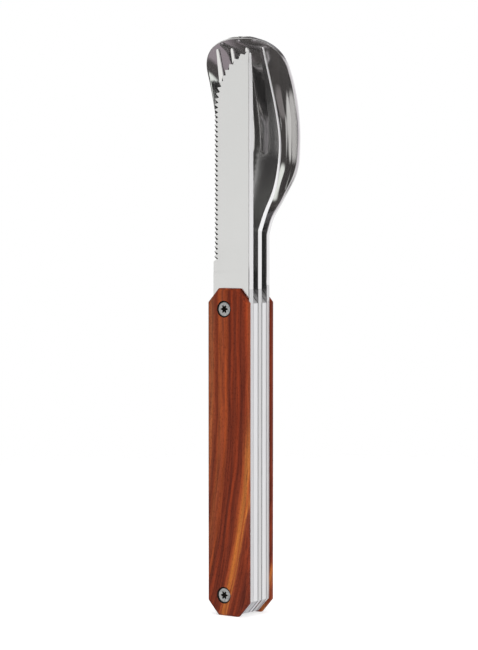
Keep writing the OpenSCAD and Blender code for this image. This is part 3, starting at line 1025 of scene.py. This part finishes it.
def wood_material(name, shift):
    """Oiled reddish hardwood: streaks along the swept grain, fibres, pores and some yellow sapwood."""
    material, t, shader = new_material(name, 0.0, 0.42)
    place, x, low = grain_place(t, shift)
    heart = streaked(t, x, STREAKS + HEARTWOOD + FAR_STREAKS)
    with_sapwood = streaked(t, x, STREAKS + SAPWOOD + FAR_STREAKS)
    has_sapwood = ramp(t, low, [(0.15, grey(0.0)), (0.32, grey(1.0))])
    colour = mix(t, "MIX", has_sapwood, heart, with_sapwood)
    bands = noise(t, scaled(t, place, (0.9, 0.9, 0.02)), 3.0, 0.55, 0.3)
    band_tones = [(0.32, (0.60, 0.64, 0.85)), (0.50, grey(1.0)), (0.66, (1.32, 1.2, 1.0))]
    colour = mix(t, "MULTIPLY", 0.9, colour, ramp(t, bands, band_tones))
    fibres = noise(t, scaled(t, place, (2.0, 2.0, 0.07)), 3.0, 0.65)
    fibre_tones = [(0.34, (0.62, 0.60, 0.75)), (0.50, grey(1.0)), (0.64, grey(1.2))]
    colour = mix(t, "MULTIPLY", 0.8, colour, ramp(t, fibres, fibre_tones))
    pores = noise(t, scaled(t, place, (2.6, 2.6, 1.3)), 1.0, 0.4)
    pore_mask = ramp(t, pores, [(0.34, grey(0.5)), (0.44, grey(1.0))])
    colour = mix(t, "MULTIPLY", 0.45, colour, pore_mask)
    t.link(colour, shader.inputs["Base Color"])
    t.link(ramp(t, fibres, [(0.3, grey(0.6)), (0.7, grey(0.45))]), shader.inputs["Roughness"])
    add_bump(t, shader, pore_mask, 0.04, 0.4)
    put(shader, Specular_IOR_Level=0.08)
    return material


def painted_shade_recess(name):
    """Painted shade with some dark oil: the almost black, mottled wall of a hole, a socket or a joint."""
    material, t, shader = new_material(name, 0.0, 0.8)
    spots = noise(t, stretched_place(t, (2.0, 2.0, 2.0)), 2.0, 0.5)
    t.link(ramp(t, spots, [(0.3, (0.006, 0.005, 0.004)), (0.7, (0.014, 0.011, 0.009))]),
         shader.inputs["Base Color"])
    t.link(ramp(t, spots, [(0.3, grey(0.7)), (0.7, grey(0.9))]), shader.inputs["Roughness"])
    add_bump(t, shader, spots, 0.02, 0.3)
    put(shader, Specular_IOR_Level=0.1)
    return material


# Patterns of a satin finish: even, and brushed across the blade
EVEN = (3.0, 3.0, 3.0)
BRUSHED = (0.35, 0.35, 7.0)


def satin_steel(name, level, roughness, brush, metallic=1.0):
    """Metal with a fine satin finish; brush scales its lines, and less metallic is lit more evenly."""
    material, t, shader = new_material(name, metallic, roughness)
    lines = noise(t, stretched_place(t, brush), 2.0, 0.7)
    cloud = noise(t, stretched_place(t, (0.08, 0.08, 0.05)), 2.0, 0.5)
    tone = mix(t, "MULTIPLY", 1.0,
               ramp(t, lines, [(0.3, grey(level * 0.97)), (0.7, grey(level))]),
               ramp(t, cloud, [(0.3, grey(0.98)), (0.7, grey(1.0))]))
    t.link(tone, shader.inputs["Base Color"])
    t.link(ramp(t, lines, [(0.3, grey(roughness * 0.9)), (0.7, grey(roughness * 1.1))]),
         shader.inputs["Roughness"])
    add_bump(t, shader, lines, 0.0015, 0.3)
    return material


def polished_steel(name):
    """Mirror-polished steel with a trace of wear: faint haze and fine wipe marks."""
    material, t, shader = new_material(name, 0.96, 0.06)
    haze = noise(t, stretched_place(t, (0.06, 0.06, 0.04)), 3.0, 0.6)
    t.link(ramp(t, haze, [(0.35, grey(0.045)), (0.75, grey(0.11))]), shader.inputs["Roughness"])
    t.link(ramp(t, haze, [(0.3, (0.67, 0.663, 0.66)), (0.7, (0.71, 0.703, 0.70))]),
         shader.inputs["Base Color"])
    wipes = noise(t, stretched_place(t, (1.5, 1.5, 0.15)), 2.0, 0.6)
    add_bump(t, shader, wipes, 0.002, 0.2)
    return material


def aluminium_material():
    """Machined aluminium: light, slightly rough, with fine mill lines along Z."""
    return satin_steel("aluminium_milled", 0.68, 0.34, (6.0, 6.0, 0.12), 0.88)


def screw_material():
    """Turned steel of the screws, a little darker and mottled."""
    material, t, shader = new_material("screw_turned", 1.0, 0.28)
    spots = noise(t, stretched_place(t, (1.2, 1.2, 1.2)), 3.0, 0.6)
    t.link(ramp(t, spots, [(0.3, grey(0.30)), (0.7, grey(0.44))]), shader.inputs["Base Color"])
    t.link(ramp(t, spots, [(0.3, grey(0.36)), (0.7, grey(0.22))]), shader.inputs["Roughness"])
    add_bump(t, shader, spots, 0.01, 0.3)
    return material


def magnet_material():
    """Bright nickel plating with a soft orange-peel."""
    material, t, shader = new_material("magnet_nickel", 1.0, 0.16)
    peel = noise(t, stretched_place(t, (1.5, 1.5, 1.5)), 2.0, 0.5)
    t.link(ramp(t, peel, [(0.3, (0.55, 0.53, 0.49)), (0.7, (0.62, 0.60, 0.56))]),
         shader.inputs["Base Color"])
    add_bump(t, shader, peel, 0.01, 0.3)
    return material


def paint(obj, *materials):
    """Gives the object its materials, and keeps which face takes which."""
    marks = [face.material_index for face in obj.data.polygons]
    obj.data.materials.clear()
    for material in materials:
        obj.data.materials.append(material)
    for face, index in zip(obj.data.polygons, marks):
        face.material_index = min(index, len(materials) - 1)


# ---- Floor, lights and camera ----

def make_floor():
    """A pale round floor that fades out, so that it has no horizon."""
    radius, rings, steps = 900.0, 12, 72
    points, faces = [(0, 0, 0)], []
    for i in range(1, rings + 1):
        for k in range(steps):
            a = 2 * math.pi * k / steps
            points.append((radius * i / rings * math.cos(a), radius * i / rings * math.sin(a), 0))
    for k in range(steps):
        faces.append((0, 1 + k, 1 + (k + 1) % steps))
    for i in range(rings - 1):
        for k in range(steps):
            a, b = 1 + i * steps + k, 1 + i * steps + (k + 1) % steps
            faces.append((a, a + steps, b + steps, b))
    floor = make_object("floor", points, faces)
    material, t, shader = new_material("floor_pale", 0.0, 0.7)
    put(shader, Base_Color=(0.55, 0.55, 0.55, 1), Emission_Color=(1, 1, 1, 1), Emission_Strength=0.62)
    place = stretched_place(t, (0.0016, 0.0016, 0.0))
    length = t.new("ShaderNodeVectorMath")
    length.operation = "LENGTH"
    t.link(place, length.inputs[0])
    t.link(ramp(t, length.outputs["Value"], [(0.25, grey(1.0)), (0.9, grey(0.0))]),
         shader.inputs["Alpha"])
    paint(floor, material)
    floor.visible_glossy = False


# Soft bright and dark areas of the studio, painted over each other: azimuth (0 is in front of the
# knife, 90 on the right), elevation, angle that is full, angle where it ends, colour
STUDIO = [
    (0, -90, 14, 30, (0.20, 0.19, 0.19)),
    (0, 88, 20, 45, (0.30, 0.30, 0.32)),
    (-4, -3, 9, 16, (0.95, 0.95, 0.94)),
    (-92, 0, 10, 18, (0.85, 0.84, 0.85)),
    (180, 0, 14, 26, (0.80, 0.80, 0.82)),
    (-42, -66, 12, 24, (0.36, 0.31, 0.34)),
    (-71, 27, 8, 15, (1.08, 1.12, 1.06)),
    (-72, -22, 7, 14, (0.24, 0.22, 0.22)),
    (-38, -9, 17, 24, (1.10, 1.10, 1.08)),
    (82, -10, 26, 42, (0.80, 0.76, 0.80)),
    (47, 0, 9, 18, (0.15, 0.14, 0.16)),
    (41, -33, 10, 16, (1.05, 1.10, 1.05)),
    (172, 35, 14, 28, (0.36, 0.33, 0.38)),
    (170, -30, 14, 28, (0.80, 0.80, 0.84)),
    (133, -31, 12, 20, (1.15, 1.18, 1.15)),
    (-136, 22, 10, 17, (1.10, 1.10, 1.10)),
    (-144, -10, 3, 9, (0.45, 0.45, 0.44)),
    (143, 0, 24, 38, (1.17, 1.17, 1.19)),
]
STUDIO_BASE = (0.072, 0.066, 0.064)

# Metres
LAMP_TARGET_Z = 0.1
LAMP_DISTANCE = 1.0


def direction(azimuth, elevation):
    """Unit vector towards a place in the studio."""
    a, e = math.radians(azimuth), math.radians(elevation)
    return (math.sin(a) * math.cos(e), -math.cos(a) * math.cos(e), math.sin(e))


def make_world():
    """A pale background, and a soft studio of bright and dark sides for what the steel reflects."""
    world = bpy.data.worlds.new("studio")
    bpy.context.scene.world = world
    world.use_nodes = True
    t = Tree(world.node_tree)
    light = t.nodes["Background"]
    seen = t.new("ShaderNodeBackground")
    put(seen, Color=(1, 1, 1, 1))
    coordinates = t.new("ShaderNodeTexCoord")
    colour = STUDIO_BASE
    for azimuth, elevation, full, end, light_colour in STUDIO:
        dot = t.new("ShaderNodeVectorMath")
        dot.operation = "DOT_PRODUCT"
        t.link(coordinates.outputs["Generated"], dot.inputs[0])
        dot.inputs[1].default_value = direction(azimuth, elevation)
        spread = t.new("ShaderNodeMapRange")
        spread.interpolation_type = "SMOOTHSTEP"
        put(spread, From_Min=math.cos(math.radians(end)), From_Max=math.cos(math.radians(full)))
        t.link(dot.outputs["Value"], spread.inputs["Value"])
        colour = mix(t, "MIX", spread.outputs["Result"], colour, light_colour)
    t.link(colour, light.inputs["Color"])
    path = t.new("ShaderNodeLightPath")
    choose = t.new("ShaderNodeMixShader")
    t.link(path.outputs["Is Camera Ray"], choose.inputs["Fac"])
    t.link(light.outputs["Background"], choose.inputs[1])
    t.link(seen.outputs["Background"], choose.inputs[2])
    t.link(choose.outputs["Shader"], t.nodes["World Output"].inputs["Surface"])


def add_aimed(name, data, target, azimuth, elevation, distance):
    """A lamp or camera that looks at the target from a direction, in metres."""
    back = Vector(direction(azimuth, elevation))
    obj = add_object(name, data)
    obj.location = Vector(target) + back * distance
    obj.rotation_mode = "QUATERNION"
    obj.rotation_quaternion = back.to_track_quat("Z", "Y")
    return obj


def add_softbox(name, azimuth, elevation, size, power):
    """A soft square lamp that looks at the middle of the set; azimuth 0 is in front of the knife.

    Polished steel doesn't reflect it: what that reflects is the studio of make_world.
    """
    data = bpy.data.lights.new(name, "AREA")
    data.shape = "RECTANGLE"
    data.size = size
    data.size_y = size
    data.energy = power
    lamp = add_aimed(name, data, (0, 0, LAMP_TARGET_Z), azimuth, elevation, LAMP_DISTANCE)
    lamp.visible_glossy = False


def make_camera():
    """A long lens, a little to the right of the knife's face and just above the middle of the set."""
    azimuth, elevation = 35.55, 2.92
    distance = 900 * MM
    target = (3.417 * MM, -11.258 * MM, 102.68 * MM)
    data = bpy.data.cameras.new("camera")
    data.lens = 142.4
    data.sensor_width = 36
    data.clip_start, data.clip_end = 0.01, 50
    bpy.context.scene.camera = add_aimed("camera", data, target, azimuth, elevation, distance)


# ---- Putting it together ----

def add_piece(obj, body, materials):
    """Paints a piece and ties it to its CAD body."""
    paint(obj, *materials)
    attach(obj, body)


def make_side(body, outer_y, side, wood, finishes):
    """What the knife and the spoon share: scale, spacer, screws, magnets and pins."""
    screws = [f"{body}_screw_{p}" for p in ("lower", "upper")]
    scale = make_scale(f"{body}_wood", f"{body}_scale", screws, outer_y, side)
    # the recess material is painted shade: the countersinks, the screws' sockets and the bar's joint with
    # the fork take it
    add_piece(scale, body, [wood, finishes["recess"]])
    spacer = make_spacer(f"{body}_spacer_bar", f"{body}_spacer", body)
    # the bar's round edges take painted shade of the seam: recess at the joint with the fork, edge where it
    # meets its own plate
    bar = [finishes[part] for part in ("aluminium", "recess", "edge", "sawn")]
    add_piece(spacer, body, bar)
    turned = [finishes["screw"], finishes["recess"]]
    for s in screws:
        add_piece(make_screw(f"{s}_turned", s, side), body, turned)
    for p in ("lower", "middle", "upper"):
        node = f"{body}_magnet_{p}"
        add_piece(make_disc(f"{node}_disc", node, 0.2), body, [finishes["magnet"]])
    for p in ("lower", "upper"):
        node = f"{body}_pin_{p}"
        add_piece(make_disc(f"{node}_dowel", node, 0.15), body, [finishes["pin"]])


def main():
    """Makes the stage, then every piece of the set."""
    make_camera()
    make_world()
    make_floor()
    add_softbox("overhead", 0, 85, 0.8, 9)
    add_softbox("side", 65, 10, 0.5, 6.0)
    add_softbox("front", 14, 15, 0.5, 3.1)
    finishes = {
        "aluminium": aluminium_material(),
        "screw": screw_material(),
        "recess": painted_shade_recess("recess_painted_shade"),
        "magnet": magnet_material(),
        "edge": satin_steel("edge_seam_shade", 0.42, 0.4, EVEN),
        "side": satin_steel("steel_side", 0.48, 0.4, EVEN, 0.2),
        "sawn": satin_steel("aluminium_sawn", 0.42, 0.5, EVEN, 0.3),
        "pin": satin_steel("pin_ground", 0.62, 0.2, (3.0, 0.3, 3.0)),
    }
    make_side("knife", FRONT_Y, 1, wood_material("wood_front", 0.0), finishes)
    make_side("spoon", BACK_Y, -1, wood_material("wood_back", 7.5), finishes)
    polished = polished_steel("steel_polished")
    satin_edge = satin_steel("steel_edge", 0.74, 0.35, EVEN, 0.4)
    # a dark satin that paints the shade in the fork's seam with the knife's bar
    seam_shade_edge = satin_steel("steel_seam_shade", 0.22, 0.4, EVEN)
    side = finishes["side"]
    # each list is in the order of the marks that the piece's faces carry, from 0
    add_piece(make_fork(), "fork", [polished, satin_edge, side, seam_shade_edge])
    add_piece(make_spoon(), "spoon", [polished, side, finishes["edge"]])
    blade = satin_steel("steel_satin", 0.66, 0.22, BRUSHED)
    # the near black steel paints the shade on the teeth's lower flanks
    ground = satin_steel("steel_flank_shade", 0.05, 0.4, EVEN)
    spine = satin_steel("steel_spine", 0.58, 0.4, BRUSHED, 0.2)
    # a darker copy of the blade's steel: painted shade on the blade's back, which faces the fork
    back = satin_steel("steel_back_shade", 0.42, 0.22, BRUSHED)
    add_piece(make_knife(), "knife", [blade, ground, side, spine, back])
    bpy.context.scene.view_settings.view_transform = "Standard"


main()
